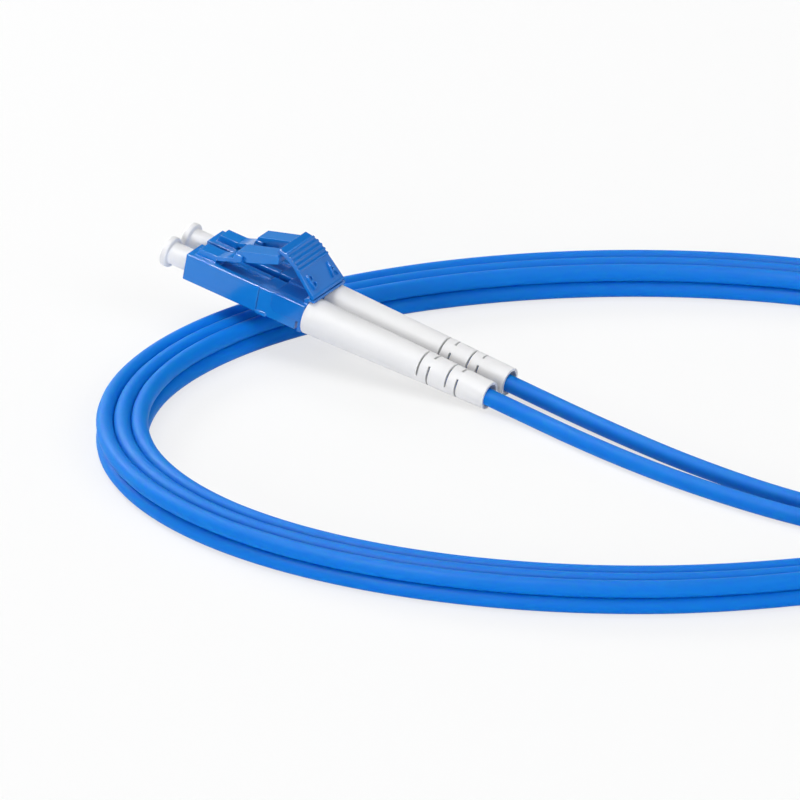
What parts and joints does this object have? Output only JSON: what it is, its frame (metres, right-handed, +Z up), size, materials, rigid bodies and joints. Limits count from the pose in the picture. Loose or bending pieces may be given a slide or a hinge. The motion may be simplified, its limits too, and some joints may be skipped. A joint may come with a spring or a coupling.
{
  "type": "duplex fibre patch cord",
  "caption": "Duplex fibre patch cord: latched twin plugs with boots, dust caps and a shared trigger at each end of a pair of slim round cables that lie in an oval loop.",
  "frame": {"origin": "on the floor, under the middle of the whole cord as it lies", "axes": "+X along the loop, away from the near plug; +Z up"},
  "size_m": [0.185, 0.1296, 0.0193],
  "materials": {
    "blue_housing": "moulded, semi-gloss",
    "blue_clip": "moulded, semi-gloss",
    "white_boot": "soft matte",
    "white_cap": "satin",
    "ferrule_ceramic": "polished ceramic",
    "flange_metal": "turned",
    "spring_steel": "drawn wire",
    "crimp_metal": "crimped",
    "buffer_coat": "extruded",
    "blue_jacket": "extruded, satin"
  },
  "bodies": {
    "cord": {"cable_loop": "blue_jacket", "far_boot_a": "white_boot", "far_boot_b": "white_boot", "far_clip": "blue_clip", "far_crimp_sleeve_a": "crimp_metal", "far_crimp_sleeve_b": "crimp_metal", "far_fibre_buffer_a": "buffer_coat", "far_fibre_buffer_b": "buffer_coat", "far_housing_a": "blue_housing", "far_housing_b": "blue_housing", "far_leg_a": "blue_jacket", "far_leg_b": "blue_jacket", "far_rear_body_a": "blue_housing", "far_rear_body_b": "blue_housing", "far_spring_a": "spring_steel", "far_spring_b": "spring_steel", "near_boot_a": "white_boot", "near_boot_b": "white_boot", "near_clip": "blue_clip", "near_crimp_sleeve_a": "crimp_metal", "near_crimp_sleeve_b": "crimp_metal", "near_fibre_buffer_a": "buffer_coat", "near_fibre_buffer_b": "buffer_coat", "near_housing_a": "blue_housing", "near_housing_b": "blue_housing", "near_leg_a": "blue_jacket", "near_leg_b": "blue_jacket", "near_rear_body_a": "blue_housing", "near_rear_body_b": "blue_housing", "near_spring_a": "spring_steel", "near_spring_b": "spring_steel"},
    "near_trigger": {"near_trigger": "blue_clip"},
    "near_latch_a": {"near_latch_a": "blue_housing"},
    "near_ferrule_a": {"near_ferrule_a": "ferrule_ceramic", "near_ferrule_flange_a": "flange_metal"},
    "near_dust_cap_a": {"near_dust_cap_a": "white_cap"},
    "near_latch_b": {"near_latch_b": "blue_housing"},
    "near_ferrule_b": {"near_ferrule_b": "ferrule_ceramic", "near_ferrule_flange_b": "flange_metal"},
    "near_dust_cap_b": {"near_dust_cap_b": "white_cap"},
    "far_trigger": {"far_trigger": "blue_clip"},
    "far_latch_a": {"far_latch_a": "blue_housing"},
    "far_ferrule_a": {"far_ferrule_a": "ferrule_ceramic", "far_ferrule_flange_a": "flange_metal"},
    "far_dust_cap_a": {"far_dust_cap_a": "white_cap"},
    "far_latch_b": {"far_latch_b": "blue_housing"},
    "far_ferrule_b": {"far_ferrule_b": "ferrule_ceramic", "far_ferrule_flange_b": "flange_metal"},
    "far_dust_cap_b": {"far_dust_cap_b": "white_cap"}
  },
  "joints": [
    {"name": "near_trigger_press", "type": "hinge", "parent": "cord", "child": "near_trigger", "pos_m": [-0.0557, 0.03335, 0.0124], "axis": [-0.521, -0.8536, 0], "range_deg": [0, 10], "stiffness_Nm_per_rad": 0.01},
    {"name": "near_latch_a_bend", "type": "hinge", "parent": "cord", "child": "near_latch_a", "pos_m": [-0.06955, 0.04546, 0.01472], "axis": [0.521, 0.8536, 0], "range_deg": [0, 7.5]},
    {"name": "near_ferrule_a_push", "type": "slide", "parent": "cord", "child": "near_ferrule_a", "axis": [0.839, -0.5121, -0.184], "range_m": [0, 0.0012], "stiffness_N_per_m": 600, "deforming": ["near_spring_a"]},
    {"name": "near_dust_cap_a_pull", "type": "slide", "parent": "cord", "child": "near_dust_cap_a", "axis": [-0.839, 0.5121, 0.184], "range_m": [0, 0.006]},
    {"name": "near_latch_b_bend", "type": "hinge", "parent": "cord", "child": "near_latch_b", "pos_m": [-0.0728, 0.04013, 0.01472], "axis": [0.521, 0.8536, 0], "range_deg": [0, 7.5]},
    {"name": "near_ferrule_b_push", "type": "slide", "parent": "cord", "child": "near_ferrule_b", "axis": [0.839, -0.5121, -0.184], "range_m": [0, 0.0012], "stiffness_N_per_m": 600, "deforming": ["near_spring_b"]},
    {"name": "near_dust_cap_b_pull", "type": "slide", "parent": "cord", "child": "near_dust_cap_b", "axis": [-0.839, 0.5121, 0.184], "range_m": [0, 0.006]},
    {"name": "far_trigger_press", "type": "hinge", "parent": "cord", "child": "far_trigger", "pos_m": [0.0863, 0.01937, 0.00703], "axis": [-1, 0, 0], "range_deg": [0, 10], "stiffness_Nm_per_rad": 0.01},
    {"name": "far_latch_a_bend", "type": "hinge", "parent": "cord", "child": "far_latch_a", "pos_m": [0.08943, 0.03764, 0.0064], "axis": [1, 0, 0], "range_deg": [0, 7.5]},
    {"name": "far_ferrule_a_push", "type": "slide", "parent": "cord", "child": "far_ferrule_a", "axis": [0, -0.9997, -0.0231], "range_m": [0, 0.0012], "stiffness_N_per_m": 600, "deforming": ["far_spring_a"]},
    {"name": "far_dust_cap_a_pull", "type": "slide", "parent": "cord", "child": "far_dust_cap_a", "axis": [0, 0.9997, 0.0231], "range_m": [0, 0.006]},
    {"name": "far_latch_b_bend", "type": "hinge", "parent": "cord", "child": "far_latch_b", "pos_m": [0.08317, 0.03764, 0.0064], "axis": [1, 0, 0], "range_deg": [0, 7.5]},
    {"name": "far_ferrule_b_push", "type": "slide", "parent": "cord", "child": "far_ferrule_b", "axis": [0, -0.9997, -0.0231], "range_m": [0, 0.0012], "stiffness_N_per_m": 600, "deforming": ["far_spring_b"]},
    {"name": "far_dust_cap_b_pull", "type": "slide", "parent": "cord", "child": "far_dust_cap_b", "axis": [0, 0.9997, 0.0231], "range_m": [0, 0.006]}
  ],
  "couplings": [
    {"joint": "near_latch_a_bend", "follows": "near_trigger_press", "ratio": 0.75},
    {"joint": "near_latch_b_bend", "follows": "near_trigger_press", "ratio": 0.75},
    {"joint": "far_latch_a_bend", "follows": "far_trigger_press", "ratio": 0.75},
    {"joint": "far_latch_b_bend", "follows": "far_trigger_press", "ratio": 0.75}
  ]
}
